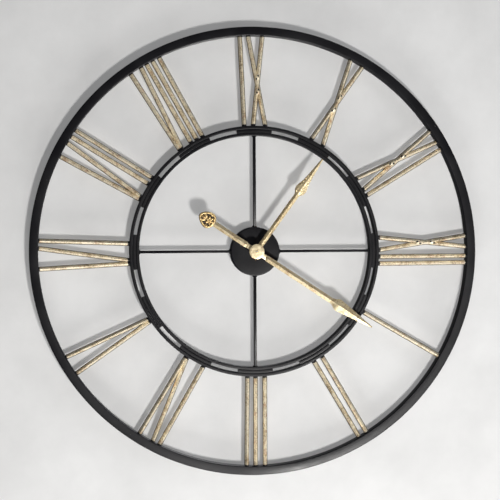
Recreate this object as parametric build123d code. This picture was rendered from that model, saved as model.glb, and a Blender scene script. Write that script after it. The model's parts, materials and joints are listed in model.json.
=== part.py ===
from build123d import *
import os
from math import atan2, cos, degrees, hypot, radians, sin

# Large skeleton wall clock: black rings and spokes, folded gilt numerals, ridged gilt hands and a
# battery quartz movement in a hub cup.
# Everything is modelled lying face up (x towards III, y towards XII, z away from the wall), and
# write() stands each piece up, so the finished row has XII at +Z and its face towards -Y.
# The origin is on the hand axis, at the wall plane. All dimensions are in millimetres.

# ---------------------------------------------------------------- driving dimensions
FACE_Z = 24.0  # front of both rings and of the hub, above the wall
RING_BACK_Z = 2.0  # back edges of the outer ring, held off the wall by the bumpers

OUTER_R = 400.0
OUTER_WIDTH = 16.0
OUTER_SHEET = 1.5

BAND_WIDTH = 6.0  # each of the two bands of the inner ring
BAND_BACK_Z = 4.0
BAND_SHEET = 1.2
INNER_RING_R = 224.0
SPACER_SPAN = 16.6  # degrees, one spacer block behind each numeral
SPACER_FRONT_Z = 22.4
SPACER_BACK_Z = 8.0

STROKE_WIDTH = 8.8  # folded numeral bars
STROKE_HEIGHT = 5.5
STROKE_BACK_Z = 17.8
STROKE_SHEET = 1.2

SPOKE_WIDTH = 5.0
SPOKE_BACK_Z = 12.0
SPOKE_FRONT_Z = 20.0

HUB_R = 44.0
HUB_BACK_Z = 2.0
HUB_SHEET = 1.2

CASE_SIZE = 56.0  # standard square quartz movement
CASE_WALL = 1.2
CASE_FRONT_Z = 22.0
CASE_SPLIT_Z = 13.5
CASE_BACK_Z = 5.5
BUSH_R = 4.0
BUSH_TOP_Z = 31.0

BATTERY_R = 7.25  # AA cell
BATTERY_LENGTH = 49.2
NUB_R = 2.75
NUB_HEIGHT = 1.3
BATTERY_Y = -19.15
BATTERY_Z = 13.3

HOUR_Z = 42.0  # back edges of the hour hand's fold
MINUTE_Z = 50.0
HOUR_ANGLE = 306.2  # clockwise from XII, as the hands are stored
MINUTE_ANGLE = 33.5
HAND_SHEET = 0.9
CAP_R = 13.5

# ---------------------------------------------------------------- derived dimensions
RIM_INNER_R = OUTER_R - OUTER_WIDTH
BAND_A_INNER_R = INNER_RING_R - BAND_WIDTH
BAND_B_OUTER_R = BAND_A_INNER_R - BAND_WIDTH
BAND_B_INNER_R = BAND_B_OUTER_R - BAND_WIDTH
CASE_HALF = CASE_SIZE / 2
CASE_INSIDE = CASE_HALF - CASE_WALL
CASE_FLOOR_Z = CASE_BACK_Z + CASE_WALL
CASE_CEILING_Z = CASE_FRONT_Z - CASE_WALL
BAY_TOP_Y = -11.5  # battery bay's inner wall
BAY_WALL = 1.0

BRIDGE_Z = 13.7
BRIDGE_THICK = 0.8
PIVOT_R = 0.5
FIT = 0.05  # radial running clearance


# ---------------------------------------------------------------- helpers
def write(name, shape):
    """Stand a face-up shape up against the wall and save it as one node."""
    upright = Rot(90, 0, 0) * shape
    upright.label = name
    export_step(upright, f"parts/{name}.step")


def polar(radius, clock_degrees):
    """Point at a radius and an angle counted clockwise from XII."""
    angle = radians(clock_degrees)
    return radius * sin(angle), radius * cos(angle)


def disc(radius, z0, z1, x=0.0, y=0.0):
    """Round plate or pin between two heights."""
    return Pos(x, y, z0) * Cylinder(radius, z1 - z0, align=(Align.CENTER, Align.CENTER, Align.MIN))


def tube(outer, inner, z0, z1, x=0.0, y=0.0):
    """Round plate with a hole."""
    return disc(outer, z0, z1, x, y) - disc(inner, z0 - 1, z1 + 1, x, y)


def block(x0, x1, y0, y1, z0, z1):
    """Box from its limits."""
    box = Box(x1 - x0, y1 - y0, z1 - z0, align=(Align.MIN, Align.MIN, Align.MIN))
    return Pos(x0, y0, z0) * box


def arc_block(inner, outer, z0, z1, middle, span):
    """Sector of a ring, centred on a clock angle."""
    reach = outer * 1.2
    half = radians(span / 2)
    wedge = Polyline((0, 0), (-reach * sin(half), reach * cos(half)), (0, reach * 1.1),
                     (reach * sin(half), reach * cos(half)), close=True)
    sector = Pos(0, 0, z0) * extrude(make_face(wedge), z1 - z0)
    return Rot(0, 0, -middle) * (tube(outer, inner, z0, z1) & sector)


def channel_ring(outer, inner, back, front, sheet, edge):
    """Rolled U-channel ring, open towards the wall, with rounded front edges."""
    ring = tube(outer, inner, back, front)
    ring -= tube(outer - sheet, inner + sheet, back - 1, front - sheet)
    return fillet(ring.edges().filter_by(GeomType.CIRCLE).group_by(Axis.Z)[-1], edge)


def fold(width, height, sheet):
    """Closed outline of a strip folded along its middle, ridge up, standing on the x axis."""
    half = width / 2
    lip = sheet * half / height
    return [(-half, 0), (0, height), (half, 0), (half - lip, 0), (0, height - sheet), (lip - half, 0)]


def standing_section(points, distance):
    """Wire across the y direction at a distance, from (x, z) outline points."""
    return Wire.make_polygon([Vector(x, distance, z) for x, z in points])


def folded_loft(stations, sheet):
    """Ridged strip along y, from (distance, width, ridge height) stations."""
    wires = [standing_section(fold(width, height, sheet), distance)
             for distance, width, height in stations]
    return Solid.make_loft(wires, ruled=True)


def gear(teeth, module, z0, z1, phase=0.0):
    """Spur wheel with short, slim teeth, so that the mesh keeps backlash."""
    outer = module * (teeth / 2 + 0.62)
    root = module * (teeth / 2 - 1.0)
    pitch = 360 / teeth
    points = []
    for index in range(teeth):
        middle = phase + index * pitch
        for radius, part in ((root, -0.24), (outer, -0.09), (outer, 0.09), (root, 0.24)):
            points.append(polar(radius, middle + part * pitch))
    return Pos(0, 0, z0) * extrude(make_face(Polyline(*points, close=True)), z1 - z0)


# ---------------------------------------------------------------- rings, spokes and hub
def outer_ring():
    return channel_ring(OUTER_R, RIM_INNER_R, RING_BACK_Z, FACE_Z, OUTER_SHEET, 1.2)


def inner_band(outer):
    return channel_ring(outer, outer - BAND_WIDTH, BAND_BACK_Z, FACE_Z, BAND_SHEET, 0.7)


def ring_spacers():
    return Compound([
        arc_block(BAND_B_OUTER_R, BAND_A_INNER_R, SPACER_BACK_Z, SPACER_FRONT_Z, 30 * hour,
                  SPACER_SPAN) for hour in range(12)])


def spoke(clock_degrees):
    """Bar from the hub wall to the inner ring, its ends curved to meet both."""
    bar = block(-SPOKE_WIDTH / 2, SPOKE_WIDTH / 2, HUB_R - 3, BAND_B_INNER_R + 3,
                SPOKE_BACK_Z, SPOKE_FRONT_Z)
    bar = chamfer(bar.edges().filter_by(Axis.Y), 0.5)
    bar &= tube(BAND_B_INNER_R, HUB_R, 0, FACE_Z)
    return Rot(0, 0, -clock_degrees) * bar


def hub_cup():
    """Drawn cup that hides the movement, open towards the wall."""
    cup = disc(HUB_R, HUB_BACK_Z, FACE_Z)
    cup = fillet(cup.edges().group_by(Axis.Z)[-1], 1.0)
    cup -= disc(HUB_R - HUB_SHEET, HUB_BACK_Z - 1, FACE_Z - HUB_SHEET)
    return cup - disc(BUSH_R + 0.15, 0, FACE_Z + 1)


HANGER_SPAN = 9.0
KEYHOLE_R = 3.2
KEYHOLE_AT = 389.5
KEYHOLE_SLOT_R = 1.8
KEYHOLE_TOP = 395.5
HANGER_THICK = 1.5


def hanger_plate():
    """Keyhole plate welded across the back of the outer ring's channel at XII."""
    plate = arc_block(RIM_INNER_R + OUTER_SHEET, OUTER_R - OUTER_SHEET, RING_BACK_Z,
                      RING_BACK_Z + HANGER_THICK, 0, HANGER_SPAN)
    plate -= disc(KEYHOLE_R, 0, FACE_Z, 0, KEYHOLE_AT)
    plate -= disc(KEYHOLE_SLOT_R, 0, FACE_Z, 0, KEYHOLE_TOP)
    return plate - block(-KEYHOLE_SLOT_R, KEYHOLE_SLOT_R, KEYHOLE_AT, KEYHOLE_TOP, 0, FACE_Z)


def wall_bumpers():
    """Rubber plugs pressed into the channel, standing proud to meet the wall."""
    return Compound([
        arc_block(RIM_INNER_R + OUTER_SHEET, OUTER_R - OUTER_SHEET, 0, 10, angle, 3.2)
        for angle in (45, 135, 225, 315)])


# ---------------------------------------------------------------- numerals
# Each bar is (sideways offset at the outer ring, offset at the inner ring), clockwise positive.
# A bar marked "butts" stops against the bar before it; "crosses" is cut in two by it.
STROKES = {
    "one": [(-1, -2, "")],
    "two": [(-10, -9.3, ""), (6, 7.5, "")],
    "three": [(-16.5, -16.5, ""), (0.5, 0, ""), (16.5, 14.5, "")],
    "four": [(-22, -21.5, ""), (-8.5, 11.5, ""), (18.5, 14, "butts")],
    "five": [(-26, -13, ""), (8, -7.5, "butts")],
    "six": [(-29, -20.5, ""), (7.5, -14, "butts"), (21, 15.5, "")],
    "seven": [(-25, -21, ""), (1.5, -16, "butts"), (15, 10.5, ""), (28.5, 23, "")],
    "eight": [(-32, -25, ""), (-10.5, -20.5, "butts"), (1, -0.8, ""), (13, 10.8, ""), (26, 22.5, "")],
    "nine": [(-25, -18, ""), (-10, 19, ""), (15, -1.5, "crosses")],
    "ten": [(-19.5, 12, ""), (4.5, -10.5, "crosses")],
    "eleven": [(-26, 3, ""), (-3.5, -19.5, "crosses"), (11.5, 15.5, "")],
    "twelve": [(-26, -1.5, ""), (-6.5, -23, "crosses"), (10.5, 11, ""), (22.5, 23.5, "")],
}
STROKE_MARK_OUTER = 382.0  # radii at which the offsets above are taken
STROKE_MARK_INNER = 228.0
STROKE_OVERRUN = 14.0


def stroke(outline, outer_offset, inner_offset):
    """Bar with the given cross-section between its two offset marks, run on past both."""
    run = STROKE_MARK_OUTER - STROKE_MARK_INNER
    rise = outer_offset - inner_offset
    length = hypot(run, rise)
    section = Wire.make_polygon([Vector(x, 0, z) for x, z in outline])
    bar = Solid.extrude(Face(section), Vector(0, length + 2 * STROKE_OVERRUN, 0))
    lean = degrees(atan2(rise, run))
    foot = Pos(inner_offset, STROKE_MARK_INNER, STROKE_BACK_Z) * Rot(0, 0, -lean)
    return foot * Pos(0, -STROKE_OVERRUN, 0) * bar


def numeral(hour, bars):
    """One Roman numeral, its bars trimmed to the two rings."""
    between_rings = tube(RIM_INNER_R, INNER_RING_R, 0, 40)
    half = STROKE_WIDTH / 2
    wedge = [(-half, -5), (-half, 0), (0, STROKE_HEIGHT), (half, 0), (half, -5)]
    pieces = []
    previous = None
    for outer_offset, inner_offset, ending in bars:
        bar = stroke(fold(STROKE_WIDTH, STROKE_HEIGHT, STROKE_SHEET), outer_offset, inner_offset)
        bar &= between_rings
        if ending:
            bar -= previous
        solids = bar.solids().sort_by(SortBy.VOLUME)
        pieces += solids[-2:] if ending == "crosses" else solids[-1:]
        previous = stroke(wedge, outer_offset, inner_offset)
    return Rot(0, 0, -30 * hour) * Compound(pieces)


# ---------------------------------------------------------------- movement case
THIRD_AT = (-9.353, 5.4)
SECOND_AT = (-10.888, 14.106)
INTERMEDIATE_AT = (-3.652, 16.739)
ROTOR_AT = (1.310, 18.545)
MINUTE_WHEEL_AT = (8.061, 8.061)
PIVOTS = (THIRD_AT, SECOND_AT, INTERMEDIATE_AT, ROTOR_AT)
STEM_R = 1.0
ARBOR_R = 1.5
PIPE_R = 2.5


def case_block(z0, z1):
    """Square of the movement case with rounded corners."""
    body = block(-CASE_HALF, CASE_HALF, -CASE_HALF, CASE_HALF, z0, z1)
    return fillet(body.edges().filter_by(Axis.Z), 3.0)


def case_rooms(z0, z1):
    """Gear room and battery bay as two cutting blocks."""
    gear_room = block(-CASE_INSIDE, CASE_INSIDE, BAY_TOP_Y + BAY_WALL, CASE_INSIDE, z0, z1)
    return gear_room + battery_bay(z0, z1)


def battery_bay(z0, z1):
    return block(-CASE_INSIDE, CASE_INSIDE, -CASE_INSIDE, BAY_TOP_Y, z0, z1)


def case_front():
    """Front half of the case, with the seat of the minute wheel's pivot."""
    shell = case_block(CASE_SPLIT_Z, CASE_FRONT_Z) - case_rooms(CASE_SPLIT_Z - 1, CASE_CEILING_Z)
    shell -= disc(BUSH_R, 0, FACE_Z)
    seat = CASE_CEILING_Z - 1.2
    return shell + tube(STEM_R + 1.0, STEM_R + FIT, seat, CASE_CEILING_Z, *MINUTE_WHEEL_AT)


def case_back():
    """Back half of the case, its battery bay open towards the wall."""
    shell = case_block(CASE_BACK_Z, CASE_SPLIT_Z) - case_rooms(CASE_FLOOR_Z, CASE_SPLIT_Z + 1)
    shell -= battery_bay(0, CASE_SPLIT_Z)
    shell -= disc(STEM_R + FIT, 0, CASE_SPLIT_Z, *MINUTE_WHEEL_AT)
    for x, y in PIVOTS:
        shell += tube(1.3, PIVOT_R + FIT, CASE_FLOOR_Z, CASE_FLOOR_Z + 0.8, x, y)
    return shell + tube(2.3, ARBOR_R + FIT, CASE_FLOOR_Z, CASE_FLOOR_Z + 0.8)


def movement_bushing():
    """Brass bushing that carries the hands and takes the fixing nut."""
    return tube(BUSH_R, PIPE_R + 0.06, CASE_CEILING_Z, BUSH_TOP_Z)


def train_bridge():
    """Plate between the time train and the motion work, with the front pivots."""
    z1 = BRIDGE_Z + BRIDGE_THICK
    plate = block(-CASE_INSIDE, CASE_INSIDE, BAY_TOP_Y + BAY_WALL, CASE_INSIDE, BRIDGE_Z, z1)
    plate -= disc(ARBOR_R + FIT, 0, FACE_Z)
    plate -= disc(STEM_R + FIT, 0, FACE_Z, *MINUTE_WHEEL_AT)
    plate -= block(COIL_X - 4.3, CASE_INSIDE + 1, 3, 24, 0, FACE_Z)
    for x, y in PIVOTS:
        plate -= disc(PIVOT_R + FIT, 0, FACE_Z, x, y)
    return plate


def fixing_nut():
    blank = extrude(RegularPolygon(6.0, 6, major_radius=False), 2.5)
    return Pos(0, 0, FACE_Z + 0.8) * blank - disc(BUSH_R, 0, 40)


# ---------------------------------------------------------------- motor and electrics
COIL_X = 20.5
COIL_Y0, COIL_Y1 = 6.0, 21.0
COIL_Z = 10.8
STATOR_Z = 10.4
STATOR_THICK = 0.8
MAGNET_R = 3.0


def across(radius, y0, y1, x, z):
    """Round bar lying along y."""
    return Pos(x, (y0 + y1) / 2, z) * Rot(90, 0, 0) * Cylinder(radius, y1 - y0)


def coil_bobbin():
    """Spool with two end cheeks, hollow for the stator's core."""
    spool = across(1.6, COIL_Y0, COIL_Y1, COIL_X, COIL_Z)
    spool += across(3.8, COIL_Y0, COIL_Y0 + 1, COIL_X, COIL_Z)
    spool += across(3.8, COIL_Y1 - 1, COIL_Y1, COIL_X, COIL_Z)
    return spool - block(COIL_X - 1, COIL_X + 1, 0, 30, STATOR_Z, STATOR_Z + STATOR_THICK)


def coil_winding():
    length = COIL_Y0 + 1, COIL_Y1 - 1
    return across(3.4, *length, COIL_X, COIL_Z) - across(1.6, *length, COIL_X, COIL_Z)


def stator():
    """Laminated yoke: a pole ring about the rotor, two arms and the core through the coil."""
    x, y = ROTOR_AT
    z1 = STATOR_Z + STATOR_THICK
    yoke = disc(4.5, STATOR_Z, z1, x, y)
    yoke += block(x, COIL_X + 1, 21.4, 24.2, STATOR_Z, z1)
    lower = Polyline((x, y - 4.4), (14.0, 2.6), (COIL_X + 1, 2.6), (COIL_X + 1, 5.6),
                     (15.2, 5.6), (x + 4.2, y), close=True)
    yoke += Pos(0, 0, STATOR_Z) * extrude(make_face(lower), STATOR_THICK)
    yoke += block(COIL_X - 1, COIL_X + 1, 4, 23, STATOR_Z, z1)
    yoke -= disc(MAGNET_R + 0.4, 0, FACE_Z, x, y)
    return yoke - disc(STEM_R + 0.5, 0, FACE_Z, *MINUTE_WHEEL_AT)


BOARD = (-26.4, -18.6, -9.0, 22.0)
BOARD_Z = 8.0
BOARD_THICK = 0.8


def circuit_board():
    return block(*BOARD, BOARD_Z, BOARD_Z + BOARD_THICK)


def driver_chip():
    """Moulded chip with three short legs a side."""
    top = BOARD_Z + BOARD_THICK
    chip = block(-24.5, -20.5, -6.0, -1.0, top + 0.1, top + 1.5)
    for y in (-5.0, -3.5, -2.0):
        chip += block(-25.4, -19.6, y - 0.25, y + 0.25, top, top + 0.4)
    return chip


def quartz_crystal():
    """Can lying on the board, with its two leads."""
    z = BOARD_Z + BOARD_THICK + 1.0
    can = across(1.0, 6.0, 12.0, -22.5, z)
    for x in (-23.0, -22.0):
        can += across(0.15, 3.5, 6.0, x, z)
    return can


def battery():
    """Cell with its raised positive cap at the +x end."""
    lying = Rot(0, 90, 0)
    can = fillet(Cylinder(BATTERY_R, BATTERY_LENGTH).edges(), 0.6)
    nub = Pos(0, 0, (BATTERY_LENGTH + NUB_HEIGHT) / 2) * Cylinder(NUB_R, NUB_HEIGHT)
    return Pos(-NUB_HEIGHT / 2, BATTERY_Y, BATTERY_Z) * lying * (can + nub)


CONTACT_SHEET = 0.35


def battery_contact(side):
    """Sprung plate at one end of the bay, folded over the bay wall to the board."""
    x0 = side * CASE_INSIDE
    x1 = side * (CASE_INSIDE - CONTACT_SHEET)
    low, high = min(x0, x1), max(x0, x1)
    plate = block(low, high, BATTERY_Y - 5, BATTERY_Y + 5, BATTERY_Z - 5, BATTERY_Z + 5)
    dimple = Pos(x1 - side * 0.2, BATTERY_Y, BATTERY_Z) * Rot(0, 90, 0) * Cylinder(2.2, 0.4)
    return plate + dimple


# ---------------------------------------------------------------- time train and motion work
def wheel_and_pinion(at, wheel, pinion, phase_wheel, phase_pinion):
    """Moulded wheel with its pinion and pivots; wheel and pinion are (teeth, module, z0, z1)."""
    body = gear(*wheel, phase_wheel) + gear(*pinion, phase_pinion)
    return Pos(at[0], at[1], 0) * (body + disc(PIVOT_R, CASE_FLOOR_Z + 0.1, BRIDGE_Z + BRIDGE_THICK))


def bearing_to(start, end):
    """Clock angle of the line from one centre to another."""
    return degrees(atan2(end[0] - start[0], end[1] - start[1]))


def meshing_phase(teeth, start, end):
    """Phase that puts a tooth gap of the gear at start on the line to end."""
    return bearing_to(start, end) + 180 / teeth


CENTRE = (0.0, 0.0)


def centre_wheel():
    wheel = gear(64, 0.30, 8.0, 8.8, bearing_to(CENTRE, THIRD_AT))
    return wheel + disc(2.6, 8.8, 9.6) - disc(ARBOR_R, 0, FACE_Z)


def third_wheel():
    return wheel_and_pinion(THIRD_AT, (60, 0.26, 10.0, 10.7), (8, 0.30, 7.9, 10.0),
                            bearing_to(THIRD_AT, SECOND_AT), meshing_phase(8, THIRD_AT, CENTRE))


def second_wheel():
    return wheel_and_pinion(SECOND_AT, (60, 0.22, 12.0, 12.6), (8, 0.26, 9.9, 12.0),
                            bearing_to(SECOND_AT, INTERMEDIATE_AT),
                            meshing_phase(8, SECOND_AT, THIRD_AT))


def intermediate_wheel():
    return wheel_and_pinion(INTERMEDIATE_AT, (40, 0.22, 8.2, 8.8), (10, 0.22, 11.8, 12.7),
                            bearing_to(INTERMEDIATE_AT, ROTOR_AT),
                            meshing_phase(10, INTERMEDIATE_AT, SECOND_AT))


def rotor_pinion():
    pinion = gear(8, 0.22, 8.1, 9.6, meshing_phase(8, ROTOR_AT, INTERMEDIATE_AT))
    pinion += disc(PIVOT_R, CASE_FLOOR_Z + 0.1, BRIDGE_Z + BRIDGE_THICK)
    return Pos(*ROTOR_AT, 0) * pinion


def rotor_magnet():
    return tube(MAGNET_R, PIVOT_R, 9.6, 12.2, *ROTOR_AT)


def minute_arbor():
    """Steel arbor with the twelve-leaf cannon pinion, threaded at the tip for the cap nut."""
    pinion = gear(12, 0.475, 15.2, 16.6, meshing_phase(12, CENTRE, MINUTE_WHEEL_AT))
    return pinion + disc(ARBOR_R, CASE_FLOOR_Z + 0.1, 58.4)


def minute_wheel():
    """Motion-work wheel and pinion on the setting stem."""
    x, y = MINUTE_WHEEL_AT
    body = gear(36, 0.475, 15.4, 16.4, bearing_to(MINUTE_WHEEL_AT, CENTRE))
    body += gear(10, 0.456, 16.4, 18.9, meshing_phase(10, MINUTE_WHEEL_AT, CENTRE))
    return Pos(x, y, 0) * (body + disc(STEM_R, 2.4, CASE_CEILING_Z - 0.2))


def setting_knob():
    """Fluted knob on the back of the stem."""
    knob = disc(4.5, 2.4, 5.1) - disc(STEM_R, 0, 10)
    for index in range(18):
        x, y = polar(4.6, 20 * index)
        knob -= disc(0.35, 0, 10, x, y)
    return Pos(*MINUTE_WHEEL_AT, 0) * knob


def hour_wheel():
    """Forty-leaf wheel with the pipe that carries the hour hand."""
    wheel = gear(40, 0.456, 17.3, 18.5, bearing_to(CENTRE, MINUTE_WHEEL_AT)) + disc(PIPE_R, 17.3, 45.0)
    wheel += disc(3.6, 18.5, 19.6)
    return wheel - disc(ARBOR_R + 0.06, 0, 60)


# ---------------------------------------------------------------- hands
SHAFT_WIDTH = 10.4
SHAFT_RIDGE = 3.6
HOUR_STATIONS = (  # distance from the axis, width, ridge height
    (11.0, 9.6, 3.2), (124.0, 9.6, 3.4), (129.0, 17.0, 4.0), (136.0, 21.6, 4.6), (145.0, 17.5, 4.4),
    (156.0, 11.5, 4.0), (180.0, 7.6, 3.2), (202.5, 3.4, 2.2),
)
MINUTE_STATIONS = (
    (20.0, SHAFT_WIDTH, SHAFT_RIDGE), (162.0, SHAFT_WIDTH, SHAFT_RIDGE), (172.0, 22.5, 4.8),
    (247.0, 2.0, 1.5),
)
TAIL_STATIONS = ((20.0, SHAFT_WIDTH, SHAFT_RIDGE), (90.0, SHAFT_WIDTH, SHAFT_RIDGE))
ORNAMENT_LENGTH = 32.0
ORNAMENT_WIDTH = 30.0
ORNAMENT_NEAR = 89.0
EYE_R = 9.0
TANG_THICK = 0.8


def hour_hand():
    """Ridged blade with a leaf and a tapering neck, on a flat eye."""
    blade = Pos(0, 0, HOUR_Z) * folded_loft(HOUR_STATIONS, HAND_SHEET)
    eye = tube(EYE_R, 3.0, HOUR_Z - TANG_THICK, HOUR_Z)
    tang = block(-4.2, 4.2, EYE_R - 2, 26, HOUR_Z - TANG_THICK, HOUR_Z)
    return Rot(0, 0, -HOUR_ANGLE) * (eye + tang + blade)


def minute_hand():
    """Ridged lance and tail on one flat eye strip."""
    blade = Pos(0, 0, MINUTE_Z) * folded_loft(MINUTE_STATIONS, HAND_SHEET)
    tail = Rot(0, 0, 180) * Pos(0, 0, MINUTE_Z) * folded_loft(TAIL_STATIONS, HAND_SHEET)
    strip = block(-4.4, 4.4, -32, 32, MINUTE_Z - TANG_THICK, MINUTE_Z)
    eye = disc(EYE_R, MINUTE_Z - TANG_THICK, MINUTE_Z) + strip - disc(2.4, 0, 70)
    return Rot(0, 0, -MINUTE_ANGLE) * (eye + blade + tail)


def tail_ornament():
    """Cast shield on the minute hand's tail, widest near the shaft and pointed outwards."""
    half = ORNAMENT_WIDTH / 2
    near, far = -ORNAMENT_NEAR, -ORNAMENT_NEAR - ORNAMENT_LENGTH
    side = Spline((0, near), (half * 0.7, near - 3), (half, near - 12), (half * 0.7, near - 22), (0, far))
    outline = make_face(side + mirror(side, Plane.YZ))
    shield = Pos(0, 0, MINUTE_Z - 2.0) * extrude(outline, 7.0)
    reach = SHAFT_WIDTH / 2 + 0.1
    slot = block(-reach, reach, -91, near + 1, MINUTE_Z - 3, MINUTE_Z + SHAFT_RIDGE)
    return Rot(0, 0, -MINUTE_ANGLE) * (shield - slot)


def hand_collet(pipe, barrel, flange, z0):
    """Flanged sleeve pressed on an arbor and riveted in a hand's eye."""
    return tube(flange, pipe, z0 - 2.0, z0 - TANG_THICK) + tube(barrel, pipe, z0 - TANG_THICK, z0 + 1.6)


CAP_Z = MINUTE_Z + 4.4


def boss_cap():
    """Gilt disc that covers the minute hand's eye."""
    cap = tube(CAP_R, ARBOR_R, CAP_Z, CAP_Z + 2.2)
    outer_edge = cap.edges().filter_by(GeomType.CIRCLE).group_by(Axis.Z)[-1].sort_by(SortBy.RADIUS)[-1]
    return fillet(outer_edge, 0.8) + tube(6.0, ARBOR_R, MINUTE_Z + 1.6, CAP_Z)


def cap_nut():
    """Small round nut on the arbor's threaded tip."""
    nut = tube(2.6, ARBOR_R, CAP_Z + 2.2, CAP_Z + 3.6)
    return nut - block(-3, 3, -0.4, 0.4, CAP_Z + 3.2, CAP_Z + 4) - disc(ARBOR_R, 0, 70)


# ---------------------------------------------------------------- write every node
os.makedirs("parts", exist_ok=True)

write("outer_ring", outer_ring())
write("inner_ring_outer_band", inner_band(INNER_RING_R))
write("inner_ring_inner_band", inner_band(BAND_B_OUTER_R))
write("ring_spacers", ring_spacers())
for place, angle in (("twelve", 0), ("three", 90), ("six", 180), ("nine", 270)):
    write(f"spoke_{place}", spoke(angle))
for index, (word, bars) in enumerate(STROKES.items()):
    write(f"numeral_{word}", numeral(index + 1, bars))
write("hub_cup", hub_cup())
write("hanger_plate", hanger_plate())
write("wall_bumpers", wall_bumpers())

write("movement_case_front", case_front())
write("movement_case_back", case_back())
write("movement_bushing", movement_bushing())
write("train_bridge", train_bridge())
write("rubber_gasket", tube(9.0, BUSH_R, CASE_FRONT_Z, FACE_Z - HUB_SHEET))
write("fixing_washer", tube(8.0, BUSH_R, FACE_Z, FACE_Z + 0.8))
write("fixing_nut", fixing_nut())

write("coil_bobbin", coil_bobbin())
write("coil_winding", coil_winding())
write("stator", stator())
write("circuit_board", circuit_board())
write("driver_chip", driver_chip())
write("quartz_crystal", quartz_crystal())
write("battery_contact_positive", battery_contact(1))
write("battery_contact_negative", battery_contact(-1))
write("battery", battery())

write("rotor_magnet", rotor_magnet())
write("rotor_pinion", rotor_pinion())
write("intermediate_wheel", intermediate_wheel())
write("second_wheel", second_wheel())
write("third_wheel", third_wheel())
write("centre_wheel", centre_wheel())
write("minute_arbor", minute_arbor())
write("minute_wheel", minute_wheel())
write("setting_knob", setting_knob())
write("hour_wheel", hour_wheel())

write("hour_hand", hour_hand())
write("hour_hand_collet", hand_collet(PIPE_R, 3.0, 5.5, HOUR_Z))
write("minute_hand", minute_hand())
write("minute_hand_collet", hand_collet(ARBOR_R, 2.4, 5.0, MINUTE_Z))
write("tail_ornament", tail_ornament())
write("boss_cap", boss_cap())
write("cap_nut", cap_nut())
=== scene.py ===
"""Looks of the skeleton wall clock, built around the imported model.

Every piece is modelled lying face up (x towards III, y towards XII, z away from the wall) and is
then stood up against the wall, so that XII ends at +Z and the dial faces -Y. Sizes are in
millimetres in the dataclasses, except in the studio, and become metres when a piece is made.
"""

import json
import logging
import math
from contextlib import contextmanager
from dataclasses import dataclass, field
from enum import Enum
from typing import Callable, Iterator, Mapping, Sequence

import bmesh
import bpy
from mathutils import Matrix, Vector


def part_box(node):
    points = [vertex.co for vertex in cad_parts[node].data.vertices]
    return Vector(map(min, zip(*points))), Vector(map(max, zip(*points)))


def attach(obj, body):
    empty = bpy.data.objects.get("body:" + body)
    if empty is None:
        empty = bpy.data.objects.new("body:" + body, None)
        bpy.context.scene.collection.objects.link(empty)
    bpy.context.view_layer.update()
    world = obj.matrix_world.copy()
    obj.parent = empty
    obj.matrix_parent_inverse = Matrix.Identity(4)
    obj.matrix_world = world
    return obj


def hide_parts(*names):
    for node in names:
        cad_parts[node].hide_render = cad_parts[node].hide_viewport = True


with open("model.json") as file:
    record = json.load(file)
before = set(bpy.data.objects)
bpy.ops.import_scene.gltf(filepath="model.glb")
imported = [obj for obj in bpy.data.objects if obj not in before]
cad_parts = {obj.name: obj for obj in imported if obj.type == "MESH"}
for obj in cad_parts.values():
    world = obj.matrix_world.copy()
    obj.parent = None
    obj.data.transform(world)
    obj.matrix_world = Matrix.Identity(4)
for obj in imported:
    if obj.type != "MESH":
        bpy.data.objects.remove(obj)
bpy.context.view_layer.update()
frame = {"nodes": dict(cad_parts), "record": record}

MM = 0.001
log = logging.getLogger("clock")

Point = tuple[float, float]
Point3 = tuple[float, float, float]
Colour = tuple[float, float, float]
Piece = bpy.types.Object
Material = bpy.types.Material


# ---------------------------------------------------------------- shader maths
class Wire:
    """A node socket that Python arithmetic can be written on."""

    def __init__(self, graph: "Graph", socket: bpy.types.NodeSocket) -> None:
        """Keep the socket and the graph it belongs to."""
        self.graph = graph
        self.socket = socket

    def _maths(self, operation: str, *values: object) -> "Wire":
        """Add one Math node on numbers or wires."""
        return self.graph.node("Math", {"operation": operation}, dict(enumerate(values)))

    def __add__(self, other: object) -> "Wire":
        """Sum."""
        return self._maths("ADD", self, other)

    __radd__ = __add__

    def __sub__(self, other: object) -> "Wire":
        """Difference."""
        return self._maths("SUBTRACT", self, other)

    def __rsub__(self, other: object) -> "Wire":
        """Difference with the wire on the right."""
        return self._maths("SUBTRACT", other, self)

    def __mul__(self, other: object) -> "Wire":
        """Product."""
        return self._maths("MULTIPLY", self, other)

    __rmul__ = __mul__

    def __abs__(self) -> "Wire":
        """Size without its sign."""
        return self._maths("ABSOLUTE", self)

    def highest(self, other: object) -> "Wire":
        """Larger of two values."""
        return self._maths("MAXIMUM", self, other)

    def sine(self) -> "Wire":
        """Sine of an angle in radians."""
        return self._maths("SINE", self)

    def ramp(self, low: float, high: float, start: float = 0.0, end: float = 1.0) -> "Wire":
        """Straight ramp from start at low to end at high, held at both ends."""
        values = {0: self, 1: low, 2: high, 3: start, 4: end}
        return self.graph.node("MapRange", {"clamp": True}, values)


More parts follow.
